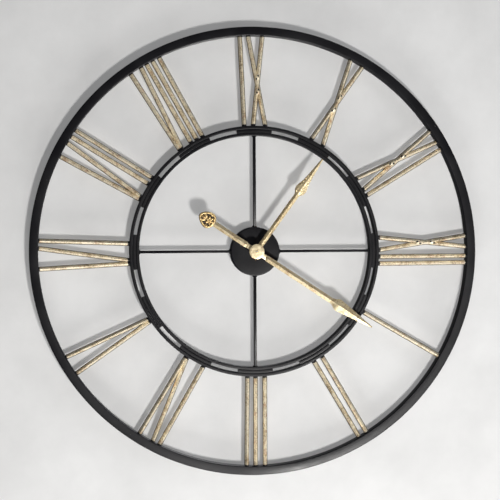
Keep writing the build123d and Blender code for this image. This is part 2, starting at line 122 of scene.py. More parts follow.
class Graph:
    """Node tree of one material."""

    def __init__(self, name: str) -> None:
        """Start an empty material of that name."""
        self.material = bpy.data.materials.new(name)
        self.material.use_nodes = True
        self.tree = self.material.node_tree
        self.tree.nodes.clear()

    def node(self, kind: str, settings: Mapping[str, object] | None = None,
             values: Mapping[int | str, object] | None = None, output: int | str = 0) -> Wire:
        """Add any node.

        Args:
            kind: Node type without its ShaderNode prefix.
            settings: Attributes set first; "stops" fills a colour ramp.
            values: Socket name or place to a number, a tuple or a wire.
            output: Which output to return.

        Returns:
            The chosen output.
        """
        made = self.tree.nodes.new("ShaderNode" + kind)
        for key, value in (settings or {}).items():
            if key == "stops":
                self._fill_ramp(made.color_ramp, value)
            else:
                setattr(made, key, value)
        for key, value in (values or {}).items():
            if isinstance(value, Wire):
                self.tree.links.new(value.socket, made.inputs[key])
            else:
                made.inputs[key].default_value = value
        return Wire(self, made.outputs[output] if made.outputs else made.inputs[0])

    @staticmethod
    def _fill_ramp(ramp: bpy.types.ColorRamp, stops: Sequence[tuple[float, Colour]]) -> None:
        """Set a colour ramp's stops, each a position and a colour."""
        while len(ramp.elements) < len(stops):
            ramp.elements.new(1.0)
        for element, (place, colour) in zip(ramp.elements, stops):
            element.position = place
            element.color = (*colour, 1.0)

    def place(self, scale: Point3 = (1.0, 1.0, 1.0), turn: Point3 = (0.0, 0.0, 0.0)) -> Wire:
        """Object coordinates in metres, stretched, and turned by angles in radians."""
        where = self.node("TexCoord", output="Object")
        return self.node("Mapping", values={"Vector": where, "Scale": scale, "Rotation": turn})

    def noise(self, size_mm: float, detail: float = 4.0, rough: float = 0.55,
              where: Wire | None = None) -> Wire:
        """Cloudy noise about 0.5.

        Args:
            size_mm: Size of its largest features.
            detail: Number of finer layers.
            rough: Weight of the finer layers.
            where: Coordinates, the object's own by default.

        Returns:
            The noise value.
        """
        values = {"Vector": where or self.place(), "Scale": 1.0 / (size_mm * MM), "Detail": detail,
                  "Roughness": rough}
        return self.node("TexNoise", values=values, output="Fac")

    def along(self, axis: str) -> Wire:
        """One object coordinate in millimetres."""
        return self.node("SeparateXYZ", values={0: self.place((1.0 / MM,) * 3)}, output=axis)

    def radius(self) -> Wire:
        """Distance from the hand axis in millimetres."""
        flat = self.place((1.0 / MM, 0.0, 1.0 / MM))
        return self.node("VectorMath", {"operation": "LENGTH"}, {0: flat}, output="Value")

    def colours(self, share: Wire, stops: Sequence[tuple[float, Colour]]) -> Wire:
        """Colour ramp over a value."""
        return self.node("ValToRGB", {"stops": stops}, {"Fac": share})

    def mix(self, share: object, low: object, high: object) -> Wire:
        """Blend two colours, each a wire or three numbers; share is the second one's weight."""
        full = [value if isinstance(value, Wire) else (*value, 1.0) for value in (low, high)]
        return self.node("Mix", {"data_type": "RGBA"}, {0: share, 6: full[0], 7: full[1]}, output=2)

    def principled(self, bump: Wire, depth_mm: float, **values: object) -> Material:
        """Close the material with one Principled shader.

        Args:
            bump: Height that the surface follows, from 0 to 1.
            depth_mm: Height of the bump in millimetres.
            values: Socket names, with spaces as underscores, to values or wires.

        Returns:
            The finished material.
        """
        named = {key.replace("_", " "): value for key, value in values.items()}
        lifted = {"Height": bump, "Distance": depth_mm * MM, "Strength": 1.0}
        named["Normal"] = self.node("Bump", values=lifted)
        shader = self.node("BsdfPrincipled", values=named)
        self.node("OutputMaterial", values={"Surface": shader})
        return self.material


# ---------------------------------------------------------------- finishes
@dataclass(frozen=True)
class BlackSteel:
    """Satin black paint on steel, faintly orange-peeled, with a few pale chips."""

    name: str = "black_steel"
    paint: Colour = (0.0050, 0.0048, 0.0066)
    dusty: Colour = (0.011, 0.0107, 0.013)
    chip: Colour = (0.30, 0.29, 0.28)
    roughness: float = 0.36
    chip_level: float = 0.80
    specular: float = 0.24

    def make(self) -> Material:
        """Build the material."""
        graph = Graph(self.name)
        cloud = graph.noise(70.0, 5.0)
        grain = graph.noise(0.9, 2.0)
        chips = graph.noise(5.0, 3.0, 0.6).ramp(self.chip_level - 0.02, self.chip_level)
        base = graph.mix(cloud.ramp(0.45, 0.75, 0.0, 0.7), self.paint, self.dusty)
        colour = graph.mix(chips, base, self.chip)
        rough = cloud.ramp(0.3, 0.7, self.roughness - 0.07, self.roughness + 0.09) + chips * 0.1
        height = grain * 0.6 + graph.noise(4.0, 2.0) - chips
        return graph.principled(height, 0.10, Base_Color=colour, Roughness=rough,
                                Specular_IOR_Level=self.specular)


@dataclass(frozen=True)
class Gilt:
    """Distressed gold leaf: pale and tan patches, copper blushes and dark specks."""

    name: str = "gilt"
    pale: Colour = (0.97, 0.88, 0.69)
    gold: Colour = (0.83, 0.71, 0.50)
    tan: Colour = (0.47, 0.36, 0.22)
    copper: Colour = (0.56, 0.33, 0.20)
    speck: Colour = (0.09, 0.062, 0.026)
    # Colour of the low darkening: painted shade on the bars' low edges, patina in a casting's
    # hollows.
    patina_and_shade: Colour = (0.045, 0.030, 0.016)
    scorch: Colour = (0.012, 0.011, 0.013)
    metallic: float = 0.46
    roughness: float = 0.36
    speck_level: float = 0.66
    speck_mm: float = 2.6
    relief_mm: float = 0.10
    blackened_ends: bool = False
    # Heights off the wall in millimetres below which the gilt darkens: painted shade on the bars,
    # patina on the ornament; zeros leave it off.
    low_shade_and_patina: Point = (0.0, 0.0)
    inner_end: float = 226.6
    outer_end: float = 381.6
    end_fade: float = 0.8

    def make(self) -> Material:
        """Build the material."""
        graph = Graph(self.name)
        patches = graph.noise(16.0, 5.0, 0.62)
        fine = graph.noise(2.6, 4.0, 0.65)
        blush = graph.noise(9.0, 3.0, 0.6, graph.place(turn=(0.5, 1.1, 0.3)))
        specks = graph.noise(self.speck_mm, 3.0, 0.7, graph.place(turn=(1.3, 0.2, 2.1)))
        leaf = graph.colours(patches * 0.5 + fine * 0.5, (
            (0.40, self.tan), (0.47, self.gold), (0.54, self.pale), (0.70, self.gold)))
        warm = graph.mix(blush.ramp(0.56, 0.70, 0.0, 0.75), leaf, self.copper)
        dark = specks.ramp(self.speck_level - 0.07, self.speck_level)
        colour = graph.mix(dark * 0.9, warm, self.speck)
        metal = dark.ramp(0.0, 1.0, self.metallic, self.metallic * 0.3)
        rough = fine.ramp(0.3, 0.7, self.roughness - 0.1, self.roughness + 0.12) + dark * 0.2
        masks = []
        # Painted shade along the bars' low edges, and patina in the ornament's hollows.
        if self.low_shade_and_patina[1] > 0.0:
            masks.append((self._low_shade_and_patina_mask(graph, fine), self.patina_and_shade))
        if self.blackened_ends:
            masks.append((self._ends(graph, fine), self.scorch))
        for mask, tint in masks:
            colour = graph.mix(mask, colour, tint)
            metal = metal * (1 - mask)
        height = fine * 0.6 + patches * 0.6 - dark * 0.5
        return graph.principled(height, self.relief_mm, Base_Color=colour, Roughness=rough,
                                Metallic=metal, Specular_IOR_Level=0.5)

    def _low_shade_and_patina_mask(self, graph: Graph, ragged: Wire) -> Wire:
        """Mask of the darkening along a strip's low edges nearest the wall, painted shade on the
        bars and patina in a casting's low hollows, its border broken by ragged noise.
        """
        low, high = self.low_shade_and_patina
        return (graph.along("Y") + ragged * 0.8 - 0.4).ramp(-high, -low)

    def _ends(self, graph: Graph, ragged: Wire) -> Wire:
        """Mask of the weld-blackened bar ends, its border broken by ragged noise."""
        radius = graph.radius() + ragged * 3.0 - 1.5
        inner = radius.ramp(self.inner_end, self.inner_end + self.end_fade, 1.0, 0.0)
        return inner.highest(radius.ramp(self.outer_end, self.outer_end + self.end_fade))


@dataclass(frozen=True)
class Moulded:
    """Plastic or rubber with a fine spark-eroded grain and soft cloudy wear."""

    name: str
    colour: Colour
    roughness: float = 0.5
    grain_mm: float = 0.5
    depth_mm: float = 0.04
    cloud: float = 0.25

    def make(self) -> Material:
        """Build the material."""
        graph = Graph(self.name)
        cloud = graph.noise(18.0, 4.0)
        lighter = tuple(min(1.0, part * (1.0 + self.cloud) + 0.01) for part in self.colour)
        colour = graph.mix(cloud.ramp(0.35, 0.7), self.colour, lighter)
        rough = cloud.ramp(0.3, 0.7, self.roughness - 0.06, self.roughness + 0.08)
        return graph.principled(graph.noise(self.grain_mm, 2.0), self.depth_mm,
                                Base_Color=colour, Roughness=rough)


@dataclass(frozen=True)
class Turned:
    """Bare metal with fine tool rings about the hand axis."""

    name: str
    colour: Colour
    roughness: float = 0.3
    ring_mm: float = 0.25

    def make(self) -> Material:
        """Build the material."""
        graph = Graph(self.name)
        rings = (graph.radius() * (math.tau / self.ring_mm)).sine() * 0.5 + 0.5
        tarnish = graph.noise(3.0, 5.0)
        darker = tuple(part * 0.62 for part in self.colour)
        colour = graph.mix(tarnish.ramp(0.45, 0.75), self.colour, darker)
        rough = tarnish.ramp(0.3, 0.7, self.roughness, self.roughness + 0.15)
        return graph.principled(rings * 0.5 + tarnish * 0.5, 0.02, Base_Color=colour,
                                Roughness=rough, Metallic=1.0)


@dataclass(frozen=True)
class CopperWinding:
    """Fine enamelled wire wound in close turns about the coil's axis, with painted shade in the
    grooves between turns.
    """

    name: str = "copper_winding"
    colour: Colour = (0.72, 0.30, 0.14)
    wire_mm: float = 0.22

    def make(self) -> Material:
        """Build the material."""
        graph = Graph(self.name)
        turns = (graph.along("Z") * (math.tau / self.wire_mm)).sine() * 0.5 + 0.5
        # Painted shade: the colour follows the bump wave and darkens to 0.4 of the copper in the
        # grooves between turns.
        colour = graph.mix(turns, tuple(part * 0.4 for part in self.colour), self.colour)
        return graph.principled(turns, 0.08, Base_Color=colour, Roughness=0.32, Metallic=0.85)


@dataclass(frozen=True)
class CellSleeve:
    """Printed sleeve of the battery: a dark body, a pale band and a copper-coloured end."""

    name: str = "cell_sleeve"
    band_start: float = 9.6
    copper_start: float = 11.8
    metal_start: float = 24.3
    fade: float = 0.2
    body: Colour = (0.012, 0.016, 0.030)
    band: Colour = (0.55, 0.56, 0.58)
    end: Colour = (0.62, 0.30, 0.12)

    def make(self) -> Material:
        """Build the material."""
        graph = Graph(self.name)
        along = graph.along("X")
        copper = along.ramp(self.copper_start, self.copper_start + self.fade)
        stripe = along.ramp(self.band_start, self.band_start + self.fade) * (1 - copper)
        ends = abs(along).ramp(self.metal_start, self.metal_start + self.fade)
        colour = graph.mix(copper, self.body, self.end)
        colour = graph.mix(ends, graph.mix(stripe, colour, self.band), self.band)
        scuff = graph.noise(6.0, 5.0)
        return graph.principled(scuff, 0.03, Base_Color=colour, Metallic=ends.highest(copper * 0.6),
                                Roughness=scuff.ramp(0.35, 0.7, 0.24, 0.42))


@dataclass(frozen=True)
class Plaster:
    """Plain pale backdrop that shows from its front only."""

    name: str = "plaster"
    colour: Colour = (0.60, 0.60, 0.60)
    one_sided: bool = True
    glow: float = 0.34

    def make(self) -> Material:
        """Build the material."""
        graph = Graph(self.name)
        cloud = graph.noise(160.0, 6.0, 0.6)
        darker = tuple(part * 0.90 for part in self.colour)
        base = graph.mix(cloud.ramp(0.35, 0.65), darker, self.colour)
        matte = graph.node("BsdfDiffuse", values={"Color": base})
        glow = graph.node("Emission", values={"Color": base, "Strength": self.glow})
        surface = graph.node("AddShader", values={0: matte, 1: glow})
        if self.one_sided:
            behind = graph.node("NewGeometry", output="Backfacing")
            clear = graph.node("BsdfTransparent")
            surface = graph.node("MixShader", values={0: behind, 1: surface, 2: clear})
        graph.node("OutputMaterial", values={"Surface": surface})
        return graph.material


# ---------------------------------------------------------------- modelling moves
def deselect_all() -> None:
    """Deselect every object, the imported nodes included."""
    bpy.ops.object.select_all(action="DESELECT")


def focus(piece: Piece) -> None:
    """Make one object the only selected and active one."""
    deselect_all()
    piece.select_set(True)
    bpy.context.view_layer.objects.active = piece


def select_all() -> None:
    """Select the whole mesh, in edit mode."""
    bpy.ops.mesh.select_all(action="SELECT")


@contextmanager
def editing(piece: Piece) -> Iterator[None]:
    """Edit mode on one object, with all of its vertices selected."""
    focus(piece)
    bpy.ops.object.mode_set(mode="EDIT")
    bpy.ops.mesh.select_mode(type="VERT")
    select_all()
    try:
        yield
    finally:
        bpy.ops.object.mode_set(mode="OBJECT")


def pick(piece: Piece, test: Callable[[Vector], bool]) -> None:
    """Select the vertices whose place passes a test, in edit mode."""
    bpy.ops.mesh.select_all(action="DESELECT")
    mesh = bmesh.from_edit_mesh(piece.data)
    for vertex in mesh.verts:
        if test(vertex.co):
            vertex.select_set(True)
    mesh.select_flush(True)
    bmesh.update_edit_mesh(piece.data)


def named(name: str) -> Piece:
    """Name the active object and its mesh, and return it."""
    piece = bpy.context.active_object
    piece.name = name
    piece.data.name = name
    return piece


def apply_place(piece: Piece) -> None:
    """Move an object's place, turn and size into its mesh."""
    focus(piece)
    bpy.ops.object.transform_apply(location=True, rotation=True, scale=True)


def lift(piece: Piece, height_mm: float) -> Piece:
    """Raise a face-up piece off the wall."""
    piece.location.z = height_mm * MM
    apply_place(piece)
    return piece


def stand(piece: Piece, clock_degrees: float = 0.0) -> Piece:
    """Stand a face-up piece against the wall, turned clockwise from XII."""
    turn = Matrix.Rotation(math.radians(clock_degrees), 4, "Y")
    piece.matrix_world = turn @ Matrix.Rotation(math.radians(90.0), 4, "X") @ piece.matrix_world
    apply_place(piece)
    return piece


def modify(piece: Piece, kind: str, **settings: object) -> None:
    """Add a modifier, set it and apply it.

    Args:
        piece: The object.
        kind: Modifier type.
        settings: Its attributes.
    """
    focus(piece)
    modifier = piece.modifiers.new(kind.lower(), kind)
    for key, value in settings.items():
        setattr(modifier, key, value)
    bpy.ops.object.modifier_apply(modifier=modifier.name)


def roughen(piece: Piece, size_mm: float, height_mm: float) -> None:
    """Push a surface in and out by cloudy noise of the given size and full height."""
    clouds = bpy.data.textures.new("dents", "CLOUDS")
    clouds.noise_scale = size_mm * MM
    clouds.noise_depth = 1
    clouds.contrast = 1.6
    modify(piece, "DISPLACE", texture=clouds, strength=height_mm * MM, mid_level=0.5,
           texture_coords="LOCAL")


def smooth(piece: Piece, degrees: float = 40.0) -> None:
    """Shade smooth, with sharp edges past an angle."""
    focus(piece)
    bpy.ops.object.shade_smooth_by_angle(angle=math.radians(degrees))


def face_outwards(piece: Piece) -> None:
    """Merge doubles and turn all faces outwards."""
    with editing(piece):
        bpy.ops.mesh.remove_doubles(threshold=0.01 * MM)
        bpy.ops.mesh.normals_make_consistent(inside=False)


def copy_of(piece: Piece, name: str) -> Piece:
    """Copy an object with its own mesh."""
    twin = piece.copy()
    twin.data = piece.data.copy()
    twin.name = name
    twin.data.name = name
    bpy.context.collection.objects.link(twin)
    return twin


def join(pieces: Sequence[Piece], name: str) -> Piece:
    """Join pieces into the first one."""
    focus(pieces[0])
    for piece in pieces[1:]:
        piece.select_set(True)
    bpy.ops.object.join()
    return named(name)


def remove(piece: Piece) -> None:
    """Delete an object and its mesh."""
    mesh = piece.data
    bpy.data.objects.remove(piece)
    bpy.data.meshes.remove(mesh)


def trace(name: str, points: Sequence[Point3]) -> Piece:
    """Extrude one vertex along a path, to make a profile.

    Args:
        name: The new object's name.
        points: The path in millimetres.

    Returns:
        An object with one line of edges.
    """
    deselect_all()
    bpy.ops.mesh.primitive_plane_add(size=1.0 * MM, location=(0.0, 0.0, 0.0))
    piece = named(name)
    path = [Vector(point) * MM for point in points]
    with editing(piece):
        bpy.ops.mesh.merge(type="CENTER")
        bpy.ops.transform.translate(value=path[0])
        for here, there in zip(path, path[1:]):
            bpy.ops.mesh.extrude_vertices_move(TRANSFORM_OT_translate={"value": there - here})
    return piece


def lathe(name: str, profile: Sequence[Point], steps: int, span: float = 360.0,
          middle: float = 0.0) -> Piece:
    """Spin a profile about the hand axis.

    Args:
        name: The new object's name.
        profile: Radius and height points in millimetres; a closed profile ends where it starts.
        steps: Number of steps.
        span: Angle of the spin in degrees.
        middle: Clock angle of the middle of a part turn.

    Returns:
        The spun object, with its ends capped if the turn isn't full.
    """
    start = math.radians(middle - span / 2) if span < 360.0 else 0.0
    along = math.sin(start), math.cos(start)
    piece = trace(name, [(r * along[0], r * along[1], z) for r, z in profile])
    with editing(piece):
        bpy.ops.mesh.remove_doubles(threshold=0.01 * MM)
        select_all()
        bpy.ops.mesh.spin(steps=steps, angle=math.radians(span), center=(0, 0, 0), axis=(0, 0, 1))
        select_all()
        bpy.ops.mesh.remove_doubles(threshold=0.01 * MM)
        if span < 360.0:
            select_all()
            bpy.ops.mesh.fill_holes(sides=0)
    face_outwards(piece)
    return piece


def rounded(points: Sequence[Point], radii: Sequence[float], steps: int = 3) -> list[Point]:
    """Round the corners of a closed outline.

    Args:
        points: Corners in order.
        radii: Radius at each corner, 0 to leave it sharp.
        steps: Segments in each rounding.

    Returns:
        A closed outline that ends where it starts.
    """
    outline: list[Point] = []
    for index, (corner, radius) in enumerate(zip(points, radii)):
        here = Vector(corner)
        back = (Vector(points[index - 1]) - here).normalized()
        ahead = (Vector(points[(index + 1) % len(points)]) - here).normalized()
        for step in range(steps + 1 if radius else 1):
            share = step / steps
            near = here + back * radius * (1.0 - share) ** 2 + ahead * radius * share ** 2
            outline.append((near.x, near.y))
    outline.append(outline[0])
    return outline


@dataclass(frozen=True)
class Look:
    """Material slot of the record and the material that fills it."""

    slot: str
    material: Material


def dress(piece: Piece, look: Look, body: str = "frame",
          replaced: Sequence[str] = ()) -> None:
    """Give a new piece its material, body and the nodes it stands for.

    Args:
        piece: The object.
        look: Its material and slot.
        body: CAD body it rides on.
        replaced: CAD nodes it stands for.
    """
    piece.data.materials.clear()
    piece.data.materials.append(look.material)
    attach(piece, body)
    if replaced:
        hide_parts(*replaced)
    log.info("%s: %d faces on %s", piece.name, len(piece.data.polygons), body)


def finish(piece: Piece, look: Look, body: str = "frame", replaced: Sequence[str] = (),
           dents: Point | None = None, clock: float = 0.0, sharp: float = 30.0) -> None:
    """Dent a face-up piece, stand it against the wall, smooth it and dress it.

    Args:
        piece: The object.
        look: Its material and slot.
        body: CAD body it rides on.
        replaced: CAD nodes it stands for.
        dents: Size and height of its dents in millimetres.
        clock: Clock angle that it is turned to.
        sharp: Angle past which an edge stays sharp.
    """
    if dents:
        roughen(piece, *dents)
    smooth(stand(piece, clock), sharp)
    dress(piece, look, body, replaced)


def heights(node: str) -> Point:
    """Back and front of a node, in millimetres above the wall."""
    low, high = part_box(node)
    return -high[1] / MM, -low[1] / MM


def half_width(node: str) -> float:
    """Half of a round node's width, in millimetres."""
    low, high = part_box(node)
    return (high[0] - low[0]) / 2 / MM


# ---------------------------------------------------------------- shared shapes
@dataclass(frozen=True)
class Station:
    """One cross-section of a folded strip: distance from the axis, width and ridge height."""

    at: float
    width: float
    ridge: float


def folded_strip(name: str, stations: Sequence[Station], sheet: float, step: float,
                 columns: int = 8, crown: float = 0.0) -> Piece:
    """Sheet strip along y with a ridge along its middle.

    Args:
        name: The new object's name.
        stations: Cross-sections in order.
        sheet: Sheet thickness in millimetres.
        step: Longest face along the strip in millimetres.
        columns: Faces across the strip, an even number.
        crown: Swell of the two flanks, as a share of the ridge height.

    Returns:
        A closed strip whose edges rest at height 0.
    """
    first = stations[0]
    section = []
    for column in range(columns + 1):
        share = 2.0 * column / columns - 1.0
        flank = 1.0 - abs(share)
        lift = flank + crown * math.sin(math.pi * flank)
        section.append((share * first.width / 2, first.at, lift * first.ridge))
    piece = trace(name, section)
    with editing(piece):
        for start, end in zip(stations, stations[1:]):
            rows = max(1, math.ceil((end.at - start.at) / step))
            last = start
            for row in range(1, rows + 1):
                share = row / rows
                here = Station(start.at + (end.at - start.at) * share,
                               start.width + (end.width - start.width) * share,
                               start.ridge + (end.ridge - start.ridge) * share)
                move = {"value": (0.0, (here.at - last.at) * MM, 0.0)}
                bpy.ops.mesh.extrude_edges_move(TRANSFORM_OT_translate=move)
                bpy.ops.transform.resize(
                    value=(here.width / last.width, 1.0, here.ridge / last.ridge),
                    center_override=(0.0, here.at * MM, 0.0))
                last = here
        select_all()
        bpy.ops.mesh.normals_make_consistent(inside=False)
    if piece.data.polygons[0].normal.z < 0:
        with editing(piece):
            bpy.ops.mesh.flip_normals()
    modify(piece, "SOLIDIFY", thickness=sheet * MM, offset=-1.0)
    return piece


def blob(name: str, size: Point3, where: Point3, subdivisions: int = 2,
         turn: float = 0.0) -> Piece:
    """Rounded lump.

    Args:
        name: The new object's name.
        size: Its three half sizes in millimetres.
        where: Its centre in millimetres, lying face up.
        subdivisions: Fineness of the ball it starts from.
        turn: Turn about the height axis in degrees, clockwise.

    Returns:
        The lump.
    """
    deselect_all()
    bpy.ops.mesh.primitive_ico_sphere_add(subdivisions=subdivisions, radius=MM, location=(0, 0, 0))
    piece = named(name)
    piece.scale = size
    piece.rotation_euler = (0.0, 0.0, math.radians(-turn))
    piece.location = Vector(where) * MM
    apply_place(piece)
    return piece


def refined(node: str, edge: float, segments: int = 2) -> Piece:
    """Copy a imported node, merge its triangles and round its edges.

    Args:
        node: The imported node.
        edge: Width of the rounding in millimetres.
        segments: Segments in the rounding.

    Returns:
        The rounded copy.
    """
    piece = copy_of(frame["nodes"][node], node + "_finished")
    piece.parent = None
    piece.matrix_world = Matrix.Identity(4)
    with editing(piece):
        bpy.ops.mesh.remove_doubles(threshold=0.005 * MM)
        bpy.ops.mesh.dissolve_limited(angle_limit=math.radians(1.0))
    modify(piece, "BEVEL", width=edge * MM, segments=segments, limit_method="ANGLE",
           angle_limit=math.radians(35.0), harden_normals=False)
    smooth(piece, 30.0)
    return piece


# ---------------------------------------------------------------- rings and hub
@dataclass
class Frame:
    """Outer ring, inner ring, spacers, spokes and hub cup, all in one black finish."""

    steel: Look
    outer_width: float = 16.0
    outer_sheet: float = 1.5
    band_width: float = 6.0
    band_sheet: float = 1.2
    cup_sheet: float = 1.2
    cup_hole: float = 4.2
    spacer_span: float = 16.6
    inset: float = 0.15
    weld_size: Point3 = (1.7, 1.4, 3.6)
    weld_side: float = 2.9
    weld_reach: float = 0.6
    spokes: tuple[str, ...] = ("spoke_twelve", "spoke_three", "spoke_six", "spoke_nine")

    def build(self) -> None:
        """Make every piece."""
        self._ring("outer_ring", self.outer_width, self.outer_sheet, 1.6, 240)
        for node in ("inner_ring_outer_band", "inner_ring_inner_band"):
            self._ring(node, self.band_width, self.band_sheet, 1.0, 180)
        self._spacers()
        self._cup()
        for index, node in enumerate(self.spokes):
            dress(refined(node, 0.5), self.steel, replaced=(node,))
            self._spoke_welds(node, 90.0 * index)
        dress(refined("hanger_plate", 0.25), self.steel, replaced=("hanger_plate",))

    def _ring(self, node: str, width: float, sheet: float, rounding: float, steps: int) -> None:
        """Channel ring, open towards the wall.

        Args:
            node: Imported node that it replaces.
            width: Width of its face in millimetres.
            sheet: Sheet thickness.
            rounding: Radius of its two front edges.
            steps: Segments round the ring.
        """
        back, front = heights(node)
        front -= self.inset
        outside = half_width(node) - self.inset
        inside = outside - width + 2 * self.inset
        corners = [(inside, back), (inside, front), (outside, front), (outside, back),
                   (outside - sheet, back), (outside - sheet, front - sheet),
                   (inside + sheet, front - sheet), (inside + sheet, back)]
        radii = [0.0, rounding, rounding, 0.0, 0.0, 0.0, 0.0, 0.0]
        ring = lathe(node + "_rolled", rounded(corners, radii, 4), steps)
        finish(ring, self.steel, replaced=(node,), dents=(55.0, 0.22), sharp=35.0)

    def _spacers(self) -> None:
        """Twelve curved blocks between the bands, one behind each numeral."""
        back, front = heights("ring_spacers")
        outside = half_width("ring_spacers")
        inside = outside - self.band_width
        corners = [(inside, back), (inside, front), (outside, front), (outside, back)]
        profile = rounded(corners, [0.0, 0.7, 0.7, 0.0], 3)
        master = lathe("spacer", profile, 16, self.spacer_span)
        blocks = []
        for hour in range(12):
            block = copy_of(master, f"spacer_{hour}")
            blocks.append(stand(block, 30.0 * hour))
        remove(master)
        spacers = join(blocks, "ring_spacers_set")
        smooth(spacers, 30.0)
        dress(spacers, self.steel, replaced=("ring_spacers",))

    def _cup(self) -> None:
        """Drawn hub cup with a rolled front edge."""
        back, front = heights("hub_cup")
        outside = half_width("hub_cup") - self.inset
        inside = outside - self.cup_sheet
        floor = front - self.cup_sheet
        corners = [(self.cup_hole, floor), (self.cup_hole, front), (outside, front),
                   (outside, back), (inside, back), (inside, floor)]
        profile = rounded(corners, [0.0, 0.3, 2.2, 0.0, 0.0, 0.8], 5)
        cup = lathe("hub_cup_drawn", profile, 128)
        finish(cup, self.steel, replaced=("hub_cup",), dents=(18.0, 0.12))

    def _spoke_welds(self, node: str, clock: float) -> None:
        """Small fillet welds where a spoke meets the hub and the inner ring."""
        back, front = heights(node)
        middle = (back + front) / 2
        hub_r = half_width("hub_cup")
        ring_r = half_width("inner_ring_inner_band") - self.band_width
        beads = [blob("bead", self.weld_size, (side, radius, middle))
                 for radius in (hub_r + self.weld_reach, ring_r - self.weld_reach)
                 for side in (-self.weld_side, self.weld_side)]
        finish(join(beads, node + "_welds"), self.steel, dents=(1.6, 0.5), clock=clock, sharp=60.0)


# ---------------------------------------------------------------- numerals
class Laid(Enum):
    """How a bar lies beside the bar before it."""

    BESIDE = "clear of it, or side by side at one end"
    ACROSS = "across it, brazed to it at the crossing"


@dataclass(frozen=True)
class Bar:
    """One folded bar: sideways offsets at the outer and the inner ring, clockwise positive."""

    outer: float
    inner: float
    laid: Laid = Laid.BESIDE


def _bars(*rows: tuple) -> tuple[Bar, ...]:
    """Rows of offsets to bars."""
    return tuple(Bar(*row) for row in rows)


@dataclass
class Numerals:
    """Twelve Roman numerals of folded, gilded bars between the two rings, and their welds."""

    gilt: Look
    steel: Look
    width: float = 8.6
    sheet: float = 1.1
    outer_mark: float = 382.0
    inner_mark: float = 228.0
    rim_r: float = 383.85
    band_r: float = 224.15
    step: float = 2.2
    master_length: float = 180.0
    clearance: float = 0.25
    spare: float = 3.0
    bead_size: Point3 = (4.0, 1.7, 2.3)
    bead_lift: float = 1.9
    bead_sink: float = 0.4
    braze_size: Point3 = (3.7, 6.2, 3.0)
    braze_lift: float = 2.9
    braze_reach: float = 12.5
    pit_size: Point3 = (1.8, 2.4, 1.2)
    pit_lift: float = 4.8
    pit_spots: tuple[Point, ...] = ((-2.6, -1.2), (2.4, 1.5))
    back: float = field(init=False)
    master: Piece = field(init=False)
    strokes: Mapping[str, tuple[Bar, ...]] = field(default_factory=lambda: {
        "one": _bars((-1, -2)),
        "two": _bars((-10, -9.3), (6, 7.5)),
        "three": _bars((-16.5, -16.5), (0.5, 0), (16.5, 14.5)),
        "four": _bars((-22, -21.5), (-8.5, 11.5), (18.5, 14)),
        "five": _bars((-26, -13), (8, -7.5)),
        "six": _bars((-29, -20.5), (7.5, -14), (21, 15.5)),
        "seven": _bars((-25, -21), (1.5, -16), (15, 10.5), (28.5, 23)),
        "eight": _bars((-32, -25), (-10.5, -20.5), (1, -0.8), (13, 10.8), (26, 22.5)),
        "nine": _bars((-25, -18), (-10, 19), (15, -1.5, Laid.ACROSS)),
        "ten": _bars((-19.5, 12), (4.5, -10.5, Laid.ACROSS)),
        "eleven": _bars((-26, 3), (-3.5, -19.5, Laid.ACROSS), (11.5, 15.5)),
        "twelve": _bars((-26, -1.5), (-6.5, -23, Laid.ACROSS), (10.5, 11), (22.5, 23.5)),
    })

    def build(self) -> None:
        """Make the numerals from copies of one master bar."""
        self.back, front = heights("numeral_three")
        ridge = front - self.back - self.clearance
        ends = [Station(at, self.width, ridge) for at in (0.0, self.master_length)]
        self.master = folded_strip("bar", ends, self.sheet, self.step, 8, 0.04)
        for hour, (word, bars) in enumerate(self.strokes.items(), start=1):
            self._numeral(word, 30.0 * hour, bars)
        remove(self.master)

    def _axis(self, bar: Bar, radius: float) -> Vector:
        """Point where a bar's middle line meets a circle about the hand axis."""
        low = Vector((bar.inner, self.inner_mark))
        along = (Vector((bar.outer, self.outer_mark)) - low).normalized()
        middle = low.dot(along)
        reach = -middle + math.sqrt(middle * middle - low.length_squared + radius * radius)
        return low + along * reach

    def _numeral(self, word: str, clock: float, bars: Sequence[Bar]) -> None:
        """One numeral and its welds.

        Args:
            word: The numeral's name.
            clock: Its clock angle.
            bars: Its bars.
        """
        made = []
        beads = []
        for index, bar in enumerate(bars):
            low = self._axis(bar, self.band_r)
            high = self._axis(bar, self.rim_r)
            made.append(self._bar(f"{word}_{index}", low, high))
            for end in (low, high):
                beads.append(self._bead(end, len(beads)))
            if bar.laid is Laid.ACROSS:
                braze, pits = self._crossing(bars[index - 1], bar)
                made += braze
                beads += pits
        finish(join(made, f"numeral_{word}_gilded"), self.gilt, replaced=(f"numeral_{word}",),
               dents=(7.0, 0.22), clock=clock, sharp=38.0)
        finish(join(beads, f"numeral_{word}_welds"), self.steel, dents=(1.8, 0.7), clock=clock,
               sharp=60.0)

    def _bar(self, name: str, low: Vector, high: Vector) -> Piece:
        """Cut one bar to length and trim it to the rings.

        Args:
            name: The bar's name.
            low: Its inner end.
            high: Its outer end.

        Returns:
            The trimmed bar.
        """
        along = (high - low).normalized()
        start = low - along * self.spare
        length = (high - low).length + 2 * self.spare
        bar = copy_of(self.master, name)
        turn = Matrix.Rotation(math.atan2(-along.x, along.y), 4, "Z")
        size = Matrix.Diagonal((1.0, length / self.master_length, 1.0, 1.0))
        bar.matrix_world = Matrix.Translation(Vector((*start, self.back)) * MM) @ turn @ size
        apply_place(bar)
        with editing(bar):
            for place, normal in ((high, high.normalized()), (low, -low.normalized())):
                select_all()
                bpy.ops.mesh.bisect(plane_co=(*(place * MM), 0.0), plane_no=(*normal, 0.0),
                                    use_fill=True, clear_outer=True)
        return bar

    def _bead(self, end: Vector, index: int) -> Piece:
        """Lump of weld at a bar's end; the index varies its width."""
        inward = 1.0 if end.length < self.inner_mark else -1.0
        where = end + end.normalized() * inward * self.bead_sink
        width, depth, height = self.bead_size
        swell = 1.0 + 0.12 * math.sin(2.4 * index)
        turn = math.degrees(math.atan2(end.x, end.y))
        size = (width * swell, depth, height)
        return blob("bead", size, (*where, self.back + self.bead_lift), 2, turn)

